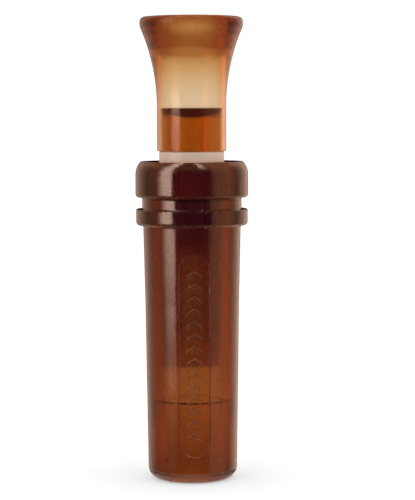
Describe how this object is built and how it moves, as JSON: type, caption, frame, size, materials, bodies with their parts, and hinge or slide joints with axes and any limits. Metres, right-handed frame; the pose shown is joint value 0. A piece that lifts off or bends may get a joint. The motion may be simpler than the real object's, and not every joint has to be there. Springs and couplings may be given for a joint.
{
  "type": "tube call",
  "caption": "Mouth-blown reed call: tapered translucent barrel with a lanyard groove, pull-out reed plug and flared bell.",
  "frame": {"origin": "centre of the flat mouth end that the call stands on", "axes": "+Z along the call from the mouth end to the bell; the moulded panel on the barrel faces -Y"},
  "size_m": [0.0318, 0.0318, 0.1302],
  "materials": {
    "barrel_plastic": "clear amber-brown, polished, with fine mould and handling marks",
    "board_plastic": "clear amber-brown, machined",
    "bell_plastic": "clear amber, satin",
    "sleeve_nylon": "off-white, matt",
    "seal_rubber": "black, matt",
    "reed_film": "thin film, satin",
    "wedge_cork": "cork"
  },
  "bodies": {
    "barrel": {"barrel": "barrel_plastic"},
    "sleeve": {"friction_sleeve": "sleeve_nylon"},
    "plug": {"tone_board": "board_plastic", "reed_wedge": "wedge_cork", "bell_seal": "seal_rubber"},
    "long_reed": {"long_reed": "reed_film"},
    "short_reed": {"short_reed": "reed_film"},
    "bell": {"bell": "bell_plastic"}
  },
  "joints": [
    {"name": "insert_pull", "type": "slide", "parent": "barrel", "child": "sleeve", "axis": [0, 0, 1], "range_m": [0, 0.06]},
    {"name": "insert_turn", "type": "hinge", "parent": "sleeve", "child": "plug", "pos_m": [0, 0, 0.09], "axis": [0, 0, 1], "continuous": true},
    {"name": "long_reed_flex", "type": "hinge", "parent": "plug", "child": "long_reed", "pos_m": [0.00018, -0.00114, 0.07275], "axis": [0.9877, 0.1564, 0], "range_deg": [-0.4, 1], "stiffness_Nm_per_rad": 0.009},
    {"name": "short_reed_flex", "type": "hinge", "parent": "plug", "child": "short_reed", "pos_m": [0.00026, -0.00163, 0.07275], "axis": [0.9877, 0.1564, 0], "range_deg": [-0.4, 1], "stiffness_Nm_per_rad": 0.009},
    {"name": "bell_pull", "type": "slide", "parent": "plug", "child": "bell", "axis": [0, 0, 1], "range_m": [0, 0.014]}
  ],
  "couplings": [
    {"joint": "short_reed_flex", "follows": "long_reed_flex", "ratio": 1}
  ]
}
